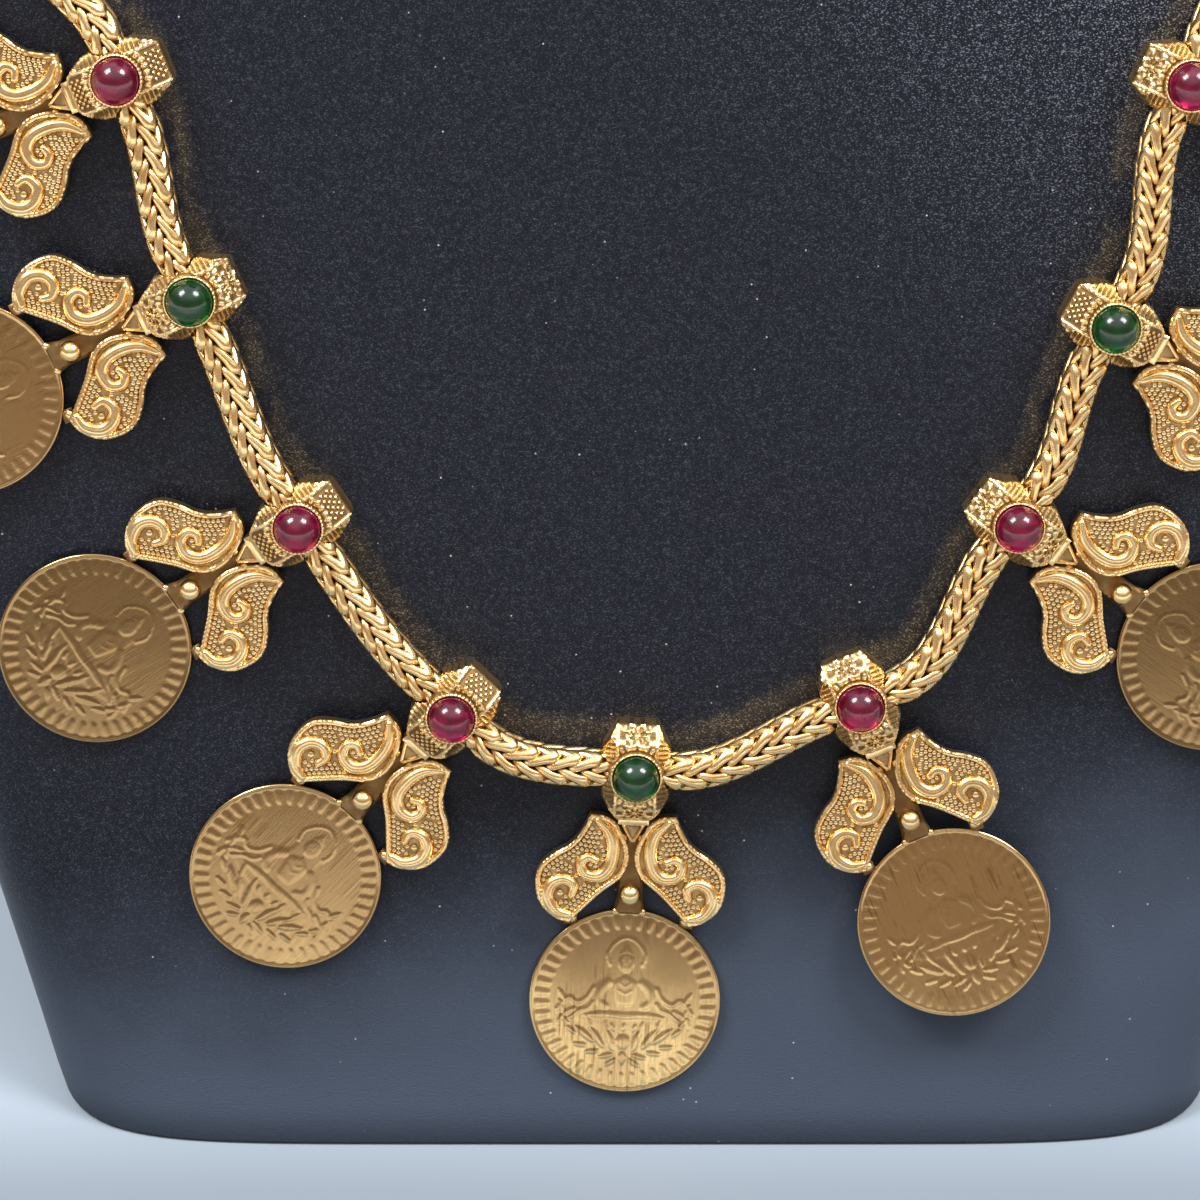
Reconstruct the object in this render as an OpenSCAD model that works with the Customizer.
// Coin necklace with nine stone-set pendants, on a neck bust.
// Millimetres. Z is up, the front faces -Y, the origin is the centre of the base's underside.

/* [Stand] */
// Height of the whole stand
stand_height = 200; // [190:5:210]
// Width of the stand at its base
base_width = 121; // [117:1:125]
// Width of the stand at its shoulders
shoulder_width = 175; // [170:1:180]
// Width of the stand's neck
neck_width = 97; // [94:1:100]
// Depth of the stand at its base
base_depth = 90; // [86:1:94]
// Thickness of the board under the stand
board_thickness = 2; // [1.5:0.5:3]

/* [Chain] */
// Width of the woven chain
chain_width = 3.8; // [3.4:0.1:4]
// Gap between the chain and the bore of a slide bead, all round
bore_gap = 0.25; // [0.2:0.05:0.35]
// Diameter of the clasp's barrel
clasp_diameter = 5.6; // [5.4:0.1:6]
// Length of the clasp's barrel
clasp_length = 13; // [10:1:16]

/* [Pendants] */
// Width of a slide bead along the chain
bead_width = 6.8; // [6.4:0.1:7.2]
// Length of a slide bead across the chain
bead_length = 10; // [9.6:0.1:10.6]
// Diameter of a stone
stone_diameter = 4.6; // [4.4:0.1:4.8]
// Height of a stone's dome
dome_height = 2.2; // [1.8:0.1:2.4]
// Diameter of a coin
coin_diameter = 19.5; // [18.5:0.1:20]
// Thickness of a coin without its relief
coin_thickness = 0.6; // [0.5:0.05:0.9]
// Ribs round a coin's border
coin_ribs = 46; // [36:2:56]
// Distance from a pendant's middle to the outer side of a paisley leaf
leaf_reach = 9.6; // [9.2:0.1:10]
// Length of a paisley leaf between its tips, measured toward the coin
leaf_length = 11.5; // [11:0.1:12]
// Thickness of a paisley leaf up to its field
leaf_thickness = 1.3; // [1.1:0.1:1.6]
// Width of a leaf's scrolls
scroll_width = 1; // [0.8:0.1:1.1]
// Width of a leaf's raised rim
rim_width = 0.5; // [0.4:0.05:0.6]
// Diameter of the ball above a coin
ball_diameter = 2.2; // [2:0.1:2.4]
// Width of the bar between bead and coin
bar_width = 2.6; // [2.2:0.1:3]

/* [Hidden] */
$fn = 48;
gold = [0.83, 0.65, 0.33];
black = [0.08, 0.08, 0.09];
green = [0.02, 0.3, 0.12];
pink = [0.75, 0.05, 0.25];

// The bust as level sections: height as a share of the stand's, half width, front and back edge as shares
// of the sizes that they follow, and the squareness of the section.
HEIGHT = 0;
HALF_WIDTH = 1;
FRONT = 2;
BACK = 3;
SQUARE = 4;
bust = [
    [0.000, 0.500 * base_width, -0.50 * base_depth, 0.500 * base_depth, 8],
    [0.125, 0.566 * base_width, -0.40 * base_depth, 0.503 * base_depth, 7],
    [0.250, 0.628 * base_width, -0.30 * base_depth, 0.510 * base_depth, 6.5],
    [0.375, 0.472 * shoulder_width, -0.20 * base_depth, 0.520 * base_depth, 6],
    [0.500, 0.494 * shoulder_width, -0.10 * base_depth, 0.545 * base_depth, 5],
    [0.575, 0.500 * shoulder_width, -0.04 * base_depth, 0.580 * base_depth, 4],
    [0.650, 0.469 * shoulder_width, 0.01 * base_depth, 0.635 * base_depth, 3],
    [0.725, 0.700 * neck_width, 0.045 * base_depth, 0.700 * base_depth, 2.3],
    [0.800, 0.567 * neck_width, 0.055 * base_depth, 0.755 * base_depth, 2],
    [0.900, 0.500 * neck_width, 0.055 * base_depth, 0.780 * base_depth, 2],
    [1.000, 0.490 * neck_width, 0.055 * base_depth, 0.780 * base_depth, 2],
];
// Heights of the stand's rings as shares, and how far the last ones draw in round the top edge.
ring_heights = [0.011, 0.05, 0.12, 0.19, 0.26, 0.33, 0.4, 0.46, 0.51, 0.55, 0.585, 0.62, 0.655, 0.69, 0.725, 0.76, 0.8, 0.85, 0.91, 0.965, 0.988, 1];
ring_shrink = [0, 0, 0, 0, 0, 0, 0, 0, 0, 0, 0, 0, 0, 0, 0, 0, 0, 0, 0, 0, 0.02, 0.07];
ring_points = 48;
board_inset = 0.6;
board_gap = 0.15;

// Smooth reading of one column of the bust's table at a height share.
function row_at(share, i = 0) = i >= len(bust) - 2 || bust[i + 1][HEIGHT] > share ? i : row_at(share, i + 1);
function slope(i, column) =
    let (low = max(i - 1, 0), high = min(i + 1, len(bust) - 1))
    (bust[high][column] - bust[low][column]) / (bust[high][HEIGHT] - bust[low][HEIGHT]);
function blend(p, q, dp, dq, t) =
    (2 * t * t * t - 3 * t * t + 1) * p + (t * t * t - 2 * t * t + t) * dp
    + (3 * t * t - 2 * t * t * t) * q + (t * t * t - t * t) * dq;
function read(share, column) =
    let (
        s = min(max(share, 0), 1),
        i = row_at(s),
        step = bust[i + 1][HEIGHT] - bust[i][HEIGHT],
        t = (s - bust[i][HEIGHT]) / step
    )
    blend(bust[i][column], bust[i + 1][column], slope(i, column) * step, slope(i + 1, column) * step, t);

// A point of the bust's surface, at an angle from straight ahead (positive toward +X) and a height.
function surface_point(angle, height) =
    let (
        s = height / stand_height,
        front = read(s, FRONT),
        back = read(s, BACK),
        n = read(s, SQUARE),
        deep = (back - front) / 2,
        x = sin(angle),
        y = -cos(angle),
        reach = pow(pow(abs(x / read(s, HALF_WIDTH)), n) + pow(abs(y / deep), n), -1 / n)
    )
    [x * reach, (front + back) / 2 + y * reach, height];
function unit(v) = v / norm(v);
function surface_normal(angle, height) =
    unit(cross(
        surface_point(angle + 0.5, height) - surface_point(angle - 0.5, height),
        surface_point(angle, height + 0.5) - surface_point(angle, height - 0.5)
    ));
function middle_depth(height) = (read(height / stand_height, FRONT) + read(height / stand_height, BACK)) / 2;
function angle_of(p) = atan2(p.x, middle_depth(p.z) - p.y);

// Depths inside a pendant, measured outward from the bust.
chain_radius = chain_width / 2;
bore_radius = chain_radius + bore_gap;
seat_gap = 0.15;
bead_back = 0;
bead_wall_back = 0.45;
bead_wall_front = 0.8;
chain_depth = bead_back + bead_wall_back + bore_radius;
bead_front = chain_depth + bore_radius + bead_wall_front;
cup_depth = 0.15;
cup_height = 0.9;
stone_floor = bead_front - cup_depth;
bezel_top = bead_front + cup_height;
stone_gap = 0.06;
bezel_wall = 0.3;
coin_back = 0;
leaf_back = 0.75;
rim_rise = 0.45;
scroll_rise = 0.4;
bar_back = 0.3;
bar_front = 1.3;

// Distances inside a pendant, measured from the chain's axis toward the coin.
bead_half_length = bead_length / 2;
link_drop = 2;
leaf_start = bead_half_length - 0.1;
leaf_end = leaf_start + leaf_length;
coin_top = leaf_end - 1.1;
coin_centre = coin_top + coin_diameter / 2;
ball_at = coin_top - ball_diameter * 0.9;
solder = 0.4;
foot_overlap = 0.7;
bar_overlap = 0.6;
tab_width = 1.3;

// Flats of a slide bead, as half widths: its front panel, upper end, lower end and back.
bead_half_width = bead_width / 2;
panel_half = 0.31 * bead_width;
upper_half = 0.3 * bead_width;
lower_half = 0.25 * bead_width;
back_half = 0.38 * bead_width;
end_slope = 1.9;

// The pendants from the wearer's right to left: angle, height, turn from straight down, and lean of the coin's end
// away from the bust.
ANGLE = 0;
UP = 1;
TURN = 2;
LEAN = 3;
pendants = [
    [-60.5, 103.5, -70, 3],
    [-54.5, 83.5, -66.5, 3.5],
    [-44, 62.5, -57.5, 0],
    [-26, 44.5, -43.5, -1],
    [0, 38.5, -2.5, 0],
    [31, 45, 23, 4],
    [47.5, 62.5, 55.5, 1],
    [56, 81, 63, 3],
    [62, 103, 69, 3],
];
// The plain way of the chain from the last pendant over the shoulder to the middle of the back: angle and height.
way_round = [
    [65.5, 115],
    [67.5, 128],
    [71, 141],
    [78, 152],
    [92, 158.5],
    [110, 160],
    [128, 159.5],
    [146, 158.5],
];
clasp_height = 158;

// A pendant's frame: origin on the bust, then its three directions (along the chain, up, outward).
function down_from(angle, height, turn) =
    let (n = surface_normal(angle, height), side = unit([1, 0, 0] - n * n.x), down = cross(n, side) * (cross(n, side).z > 0 ? -1 : 1))
    unit(down * cos(turn) + side * sin(turn));
// Places on a pendant's back: along the chain, toward the coin, depth of that back.
back_places = concat(
    [for (u = [-1, 0, 1]) for (v = [-1, 1]) [u * bead_half_width, v * bead_half_length, bead_back]],
    [for (u = [-1, -0.5, 0.5, 1]) for (t = [0.1 : 0.3 : 1]) [u * leaf_reach, leaf_start + t * leaf_length, leaf_back]],
    [for (t = [0, 0.5, 1]) [0, bead_half_length + t * (coin_top - bead_half_length), bar_back]],
    [for (a = [0 : 30 : 330]) [coin_diameter / 2 * sin(a), coin_centre - coin_diameter / 2 * cos(a), coin_back]]
);
function depth_of_stand(start, along, down, out, place) =
    let (q = start + along * place.x + down * place.y, p = surface_point(angle_of(q), q.z))
    (p - q) * out - place.z;
// The frame lies so that the pendant's nearest place is seat_gap off the stand.
function pendant_frame(i) =
    let (
        angle = pendants[i][ANGLE],
        height = pendants[i][UP],
        start = surface_point(angle, height),
        guess = start + down_from(angle, height, pendants[i][TURN]) * coin_centre,
        flat = unit(surface_point(angle_of(guess), guess.z) - start),
        along = unit(cross(surface_normal(angle, height), flat)),
        down = flat * cos(pendants[i][LEAN]) + cross(flat, along) * sin(pendants[i][LEAN]),
        out = cross(down, along),
        lift = seat_gap + max([for (place = back_places) depth_of_stand(start, along, down, out, place)])
    )
    [start + out * lift, along, down * -1, out];
frames = [for (i = [0 : len(pendants) - 1]) pendant_frame(i)];

// The chain's stations: place, direction and outward direction, as one closed loop.
bead_half = bead_width / 2 + 0.9;
clasp_ring = 0.3;
clasp_frame = let (out = surface_normal(180, clasp_height), along = [-1, 0, 0])
    [surface_point(180, clasp_height) + out * (seat_gap + clasp_diameter / 2 + clasp_ring), along, cross(out, along), out];
left_way_round = [for (i = [len(way_round) - 1 : -1 : 0]) [-way_round[i][ANGLE], way_round[i][UP]]];
function bead_station(i, side) =
    let (f = frames[i]) [f[0] + f[3] * chain_depth + f[1] * bead_half * side, f[1], f[3]];
function clasp_station(side) = [clasp_frame[0] + clasp_frame[1] * (clasp_length / 2 + 0.9) * side, clasp_frame[1], clasp_frame[3]];
function way_place(way, i) = surface_point(way[i][ANGLE], way[i][UP]) + surface_normal(way[i][ANGLE], way[i][UP]) * (seat_gap + chain_depth);
// The stations of one way round, between the place before it and the place after it.
function way_stations(way, before, after) =
    let (last = len(way) - 1, places = concat([before], [for (i = [0 : last]) way_place(way, i)], [after]))
    [for (i = [0 : last]) [places[i + 1], unit(places[i + 2] - places[i]), surface_normal(way[i][ANGLE], way[i][UP])]];
last_pendant = len(pendants) - 1;
stations = concat(
    [for (i = [0 : last_pendant]) for (side = [-1, 1]) bead_station(i, side)],
    way_stations(way_round, bead_station(last_pendant, 1)[0], clasp_station(-1)[0]),
    [clasp_station(-1), clasp_station(1)],
    way_stations(left_way_round, clasp_station(1)[0], bead_station(0, -1)[0])
);
// Steps of the curve after each station: one straight through a bead or the clasp, more between.
front_stations = 2 * len(pendants);
clasp_start = front_stations + len(way_round);
function steps_after(i) = i < front_stations ? (i % 2 == 0 ? 1 : 4) : (i == clasp_start ? 1 : 2);
function curve_place(i, t) =
    let (a = stations[i], b = stations[(i + 1) % len(stations)], span = norm(b[0] - a[0]))
    [blend(a[0], b[0], a[1] * span, b[1] * span, t), unit(a[2] * (1 - t) + b[2] * t)];
curve = [for (i = [0 : len(stations) - 1]) for (k = [0 : steps_after(i) - 1]) curve_place(i, k / steps_after(i))];
chain_sides = 8;

// A closed or open smooth line through points, with a number of steps a span.
function pick(points, i) = points[min(max(i, 0), len(points) - 1)];
function smooth(points, steps) = [
    for (i = [0 : len(points) - 2])
        for (k = [0 : steps - 1])
            blend(points[i], points[i + 1], (points[i + 1] - pick(points, i - 1)) / 2, (pick(points, i + 2) - points[i]) / 2, k / steps),
    points[len(points) - 1],
];

// A leaf's two edges between its tips, on the +X side: shares of leaf_reach and of leaf_length.
leaf_inner = [[0.45, 0], [0.27, 0.02], [0.145, 0.11], [0.047, 0.28], [0.037, 0.45], [0.125, 0.59], [0.31, 0.72], [0.52, 0.9], [0.625, 1]];
leaf_outer = [[0.625, 1], [0.78, 0.965], [0.95, 0.83], [1, 0.64], [0.96, 0.49], [0.82, 0.375], [0.655, 0.285], [0.54, 0.165], [0.45, 0]];
// The two scrolls of a leaf: place as above, then the band's half width as a share of scroll_width.
upper_scroll = [[0.37, 0.06, 0.3], [0.25, 0.165, 0.45], [0.2, 0.31, 0.5], [0.22, 0.47, 0.5], [0.33, 0.57, 0.5], [0.48, 0.555, 0.45], [0.53, 0.46, 0.4], [0.46, 0.4, 0.35], [0.375, 0.425, 0.3]];
lower_scroll = [[0.635, 0.93, 0.3], [0.77, 0.9, 0.45], [0.865, 0.78, 0.5], [0.83, 0.66, 0.5], [0.71, 0.61, 0.45], [0.6, 0.66, 0.4], [0.615, 0.75, 0.3]];

function on_leaf(p) = [p.x * leaf_reach, -leaf_start - p.y * leaf_length];
function leaf_outline() =
    let (inner = smooth(leaf_inner, 2), outer = smooth(leaf_outer, 2))
    [for (p = concat(inner, [for (i = [1 : len(outer) - 2]) outer[i]])) on_leaf(p)];
function band(spine) =
    let (
        line = [for (p = smooth(spine, 2)) concat(on_leaf(p), p.z * scroll_width)],
        last = len(line) - 1,
        side = function (i, s)
            let (a = line[max(i - 1, 0)], b = line[min(i + 1, last)], d = unit([b.x - a.x, b.y - a.y]))
            [line[i].x - d.y * line[i].z * s, line[i].y + d.x * line[i].z * s]
    )
    concat([for (i = [0 : last]) side(i, 1)], [for (i = [last : -1 : 0]) side(i, -1)]);

// The coin's relief, in shares of its radius.
coin_relief = 0.3;
rib_start = 0.79;
rib_end = 0.95;
border_out = 0.985;

module in_frame(f) {
    multmatrix([
        [f[1].x, f[2].x, f[3].x, f[0].x],
        [f[1].y, f[2].y, f[3].y, f[0].y],
        [f[1].z, f[2].z, f[3].z, f[0].z],
        [0, 0, 0, 1],
    ]) children();
}

// Skin over rings of equal length: sides, and a fan at each end unless the rings close on themselves.
module skin(rings, closed) {
    n = len(rings[0]);
    m = len(rings);
    sides = [
        for (i = [0 : m - (closed ? 1 : 2)])
            for (k = [0 : n - 1])
                let (a = i * n + k, b = i * n + (k + 1) % n, c = ((i + 1) % m) * n + (k + 1) % n, d = ((i + 1) % m) * n + k)
                each [[a, c, b], [a, d, c]],
    ];
    ends = closed ? [] : [[for (k = [0 : n - 1]) k], [for (k = [n - 1 : -1 : 0]) (m - 1) * n + k]];
    polyhedron(points = [for (r = rings) each r], faces = concat(sides, ends));
}

function section(height, shrink, inset) =
    let (
        s = height / stand_height,
        n = read(s, SQUARE),
        wide = (read(s, HALF_WIDTH) - inset) * (1 - shrink),
        deep = ((read(s, BACK) - read(s, FRONT)) / 2 - inset) * (1 - shrink),
        centre = (read(s, BACK) + read(s, FRONT)) / 2
    )
    [for (k = [0 : ring_points - 1])
        let (t = 360 * (k + 0.5) / ring_points)
        [wide * sign(cos(t)) * pow(abs(cos(t)), 2 / n), centre + deep * sign(sin(t)) * pow(abs(sin(t)), 2 / n), height]];

module stand() {
    color(black)
    skin([
        for (i = [0 : len(ring_heights) - 1])
            section(max(ring_heights[i] * stand_height, board_thickness + board_gap), ring_shrink[i], 0)
    ], false);
}

module base_board() {
    color(black)
    linear_extrude(board_thickness)
        polygon([for (p = section(0, 0, board_inset)) [p.x, p.y]]);
}

module chain() {
    last = len(curve) - 1;
    color(gold)
    skin([
        for (i = [0 : last])
            let (
                p = curve[i][0],
                along = unit(curve[i == last ? 0 : i + 1][0] - curve[i == 0 ? last : i - 1][0]),
                side = unit(cross(along, curve[i][1])),
                out = cross(side, along)
            )
            [for (k = [0 : chain_sides - 1])
                let (t = 360 * (k + 0.5) / chain_sides)
                p + (side * cos(t) + out * sin(t)) * chain_radius]
    ], true);
}

module clasp() {
    ring_length = 1.5;
    color(gold)
    in_frame(clasp_frame)
    rotate([0, 90, 0])
    difference() {
        union() {
            cylinder(d = clasp_diameter, h = clasp_length, center = true);
            for (side = [-1, 1])
                translate([0, 0, side * (clasp_length - ring_length) / 2])
                    cylinder(d = clasp_diameter + 2 * clasp_ring, h = ring_length, center = true);
        }
        cylinder(r = bore_radius, h = clasp_length + 2, center = true);
    }
}

module bead_block() {
    half = bead_half_length;
    wide = bead_half_width;
    side_front = chain_depth + 0.5 * bore_radius;
    end_front = 0.68 * bead_front;
    end_back = 0.2 * bead_front;
    intersection() {
        // outline from the front
        linear_extrude(bead_front)
            polygon([[upper_half, half], [wide, half / 2], [wide, -half / 2], [lower_half, -half], [-lower_half, -half], [-wide, -half / 2], [-wide, half / 2], [-upper_half, half]]);
        // outline from the side
        rotate([90, 0, 90])
            linear_extrude(bead_width + 2, center = true)
                polygon([[half, end_back], [half, end_front], [half - end_slope, bead_front], [end_slope - half, bead_front], [-half, end_front], [-half, end_back], [end_slope - half, bead_back], [half - end_slope, bead_back]]);
        // outline from the end
        rotate([90, 0, 0])
            linear_extrude(bead_length + 2, center = true)
                polygon([[panel_half, bead_front], [wide, side_front], [wide, end_back], [back_half, bead_back], [-back_half, bead_back], [-wide, end_back], [-wide, side_front], [-panel_half, bead_front]]);
    }
}

// Raised borders at both sides of the front panel, above and below the stone.
module bead_borders() {
    border = 0.3;
    border_length = 1.8;
    for (end = [-1, 1])
        for (side = [-1, 1])
            translate([side * (panel_half - border), end * (bead_half_length - end_slope - border), bead_front - border])
                cube([border, border_length, 3 * border], center = true);
}

// Raised flower on the sloping end of the front panel, above and below the stone.
flower_petals = 6;
flower_reach = 0.95;
flower_rise = 0.2;
module bead_flower(end) {
    end_drop = 0.32 * bead_front;
    translate([0, end * (bead_half_length - end_slope / 2), bead_front - end_drop / 2])
        rotate([-end * atan(end_drop / end_slope), 0, 0])
            translate([0, 0, -flower_rise])
                linear_extrude(2 * flower_rise) {
                    for (k = [0 : flower_petals - 1])
                        petal([0, 0], flower_reach, 0.5 * flower_reach, (k + 0.5) * 360 / flower_petals);
                    circle(r = 0.33 * flower_reach);
                }
}

module leaf(side) {
    mirror([side < 0 ? 1 : 0, 0, 0])
        translate([0, 0, leaf_back]) {
            linear_extrude(leaf_thickness)
                polygon(leaf_outline());
            linear_extrude(leaf_thickness + rim_rise)
                difference() {
                    polygon(leaf_outline());
                    offset(delta = -rim_width)
                        polygon(leaf_outline());
                }
            translate([0, 0, leaf_thickness / 2])
                linear_extrude(leaf_thickness / 2 + scroll_rise)
                    polygon(band(upper_scroll));
            translate([0, 0, leaf_thickness / 2])
                linear_extrude(leaf_thickness / 2 + 0.9 * scroll_rise)
                    polygon(band(lower_scroll));
        }
}

module coin() {
    r = coin_diameter / 2;
    face = coin_back + coin_thickness;
    step = 360 / coin_ribs;
    translate([0, -coin_centre, 0]) {
        translate([0, 0, coin_back])
            cylinder(r = r, h = coin_thickness);
        // border with its ribs pointing inward
        translate([0, 0, face - 0.1])
            linear_extrude(0.1 + 0.2)
                polygon(
                    points = concat(
                        [for (k = [0 : 95]) r * border_out * [cos(k * 3.75), sin(k * 3.75)]],
                        [for (k = [0 : coin_ribs - 1]) each [
                            for (edge = [[rib_end, 0.02], [rib_start, 0.2], [rib_start, 0.4], [rib_end, 0.58]])
                                r * edge[0] * [cos((k + edge[1]) * step), sin((k + edge[1]) * step)]
                        ]]
                    ),
                    paths = [[for (k = [0 : 95]) k], [for (k = [0 : coin_ribs * 4 - 1]) 96 + k]]
                );
        translate([0, 0, face - 0.1])
            linear_extrude(0.1 + coin_relief * 0.6)
                seated_outline(r);
        translate([0, 0, face - 0.1])
            linear_extrude(0.1 + coin_relief)
                seated_body(r);
        translate([0, 0, face - 0.1])
            linear_extrude(0.1 + coin_relief)
                lotus(r);
    }
}

// A petal from its foot to its tip, at an angle from straight up.
module petal(foot, reach, wide, angle) {
    translate(foot)
        rotate(angle)
            polygon([[0, 0], [wide * 0.45, reach * 0.3], [wide * 0.5, reach * 0.5], [0, reach], [-wide * 0.5, reach * 0.5], [-wide * 0.45, reach * 0.3]]);
}

// A closed outline that is the same on both sides, from the points of its right half.
function both_sides(points) =
    let (half = smooth(points, 2), last = len(half) - 1)
    concat(half, [for (i = [last : -1 : 0]) if (half[i].x > 0.001) [-half[i].x, half[i].y]]);

// The seat: a row of seven standing petals over five hanging ones, and a leaf spray at each side.
module lotus(r) {
    for (k = [-3 : 3])
        petal([0.135 * k * r, (-0.56 + 0.018 * k * k) * r], 0.22 * r, 0.1 * r, -16 * k);
    petal([0, -0.59 * r], 0.13 * r, 0.1 * r, 180);
    for (side = [-1, 1]) {
        petal([side * 0.09 * r, -0.59 * r], 0.17 * r, 0.07 * r, side * 248);
        petal([side * 0.28 * r, -0.53 * r], 0.17 * r, 0.07 * r, side * 252);
        for (leaf = [[0.54, -0.3, 320], [0.62, -0.2, 345], [0.64, -0.02, 330]])
            petal([side * leaf[0] * r, leaf[1] * r], 0.17 * r, 0.08 * r, side * leaf[2]);
    }
}

// The figure in low relief: halo and robe, then head, crown, body and crossed legs standing a little higher.
module seated_outline(r) {
    polygon(r * both_sides([[0, 0.7], [0.13, 0.66], [0.2, 0.54], [0.18, 0.38], [0.2, 0.27], [0.32, 0.18], [0.4, 0.02], [0.5, -0.12], [0.54, -0.22], [0.4, -0.3], [0, -0.31]]));
}
module seated_body(r) {
    polygon(r * both_sides([[0, 0.64], [0.045, 0.56], [0.09, 0.47], [0.075, 0.36], [0.045, 0.29], [0.15, 0.22], [0.13, 0.08], [0.1, -0.06], [0, -0.08]]));
    polygon(r * both_sides([[0, -0.12], [0.22, -0.11], [0.42, -0.16], [0.44, -0.23], [0.25, -0.26], [0, -0.24]]));
    for (side = [-1, 1])
        polygon(r * [for (p = [[0.19, 0.2], [0.27, 0.1], [0.28, -0.02], [0.2, -0.07], [0.17, -0.03], [0.21, 0.03], [0.2, 0.1], [0.15, 0.15]]) [side * p.x, p.y]]);
}

module pendant(i) {
    bar_half = bar_width / 2;
    bead_end = bead_half_length;
    foot_half = 0.23 * bead_width;
    link_top = -bead_end - bar_overlap;
    tab_middle = 0.61 * leaf_reach;
    tab_foot = coin_centre - sqrt(pow(coin_diameter / 2, 2) - pow(tab_middle - tab_width / 2, 2)) + solder;
    color(gold)
    in_frame(frames[i]) {
        difference() {
            union() {
                bead_block();
                bead_borders();
                bead_flower(1);
                bead_flower(-1);
                // cup for the stone
                translate([0, 0, stone_floor - solder])
                    cylinder(d = stone_diameter + 2 * (stone_gap + bezel_wall), h = bezel_top - stone_floor + solder);
                // foot of the bead
                translate([-foot_half, -bead_end - foot_overlap, leaf_back])
                    cube([2 * foot_half, 2 * foot_overlap, 0.45 * bead_front]);
            }
            translate([0, 0, chain_depth])
                rotate([0, 90, 0])
                    cylinder(r = bore_radius, h = bead_width + 4 * foot_overlap, center = true);
            translate([0, 0, stone_floor])
                cylinder(d = stone_diameter + 2 * stone_gap, h = 4 * cup_height);
        }
        // three-cornered link
        translate([0, 0, leaf_back])
            linear_extrude(leaf_thickness + 2 * rim_rise)
                polygon([[-bar_half, link_top], [bar_half, link_top], [0, link_top - link_drop]]);
        // bar down to the coin, wider where it is soldered on
        translate([0, 0, bar_back])
            linear_extrude(bar_front - bar_back)
                polygon([
                    [-bar_half, -bead_end + solder],
                    [bar_half, -bead_end + solder],
                    [bar_half, -coin_top + 3 * solder],
                    [bar_half + solder, -coin_top - solder],
                    [-bar_half - solder, -coin_top - solder],
                    [-bar_half, -coin_top + 3 * solder],
                ]);
        translate([0, -ball_at, bar_front + ball_diameter * 0.3])
            sphere(d = ball_diameter);
        for (side = [-1, 1]) {
            leaf(side);
            // solder tab from under a leaf's lower tip to the coin's edge
            translate([side * tab_middle - tab_width / 2, -leaf_end + solder, coin_back])
                cube([tab_width, 2 * solder, leaf_back - coin_back + solder]);
            translate([side * tab_middle - tab_width / 2, -tab_foot, coin_back])
                cube([tab_width, tab_foot - leaf_end + 2 * solder, coin_thickness]);
        }
        coin();
    }
}

module stone(i, shade) {
    r = stone_diameter / 2;
    dome_radius = (r * r + dome_height * dome_height) / (2 * dome_height);
    low = stone_floor + stone_gap;
    girdle = bezel_top - 0.1;
    color(shade)
    in_frame(frames[i]) {
        translate([0, 0, low])
            cylinder(r = r, h = girdle - low);
        intersection() {
            translate([0, 0, girdle + dome_height - dome_radius])
                sphere(dome_radius);
            translate([0, 0, girdle - 0.05])
                cylinder(r = r, h = dome_height + 1);
        }
    }
}

stand();
base_board();
chain();
clasp();
pendant(0);  // pendant_left_4
pendant(1);  // pendant_left_3
pendant(2);  // pendant_left_2
pendant(3);  // pendant_left_1
pendant(4);  // pendant_centre
pendant(5);  // pendant_right_1
pendant(6);  // pendant_right_2
pendant(7);  // pendant_right_3
pendant(8);  // pendant_right_4
stone(0, pink);  // stone_left_4
stone(1, green);  // stone_left_3
stone(2, pink);  // stone_left_2
stone(3, pink);  // stone_left_1
stone(4, green);  // stone_centre
stone(5, pink);  // stone_right_1
stone(6, pink);  // stone_right_2
stone(7, green);  // stone_right_3
stone(8, pink);  // stone_right_4
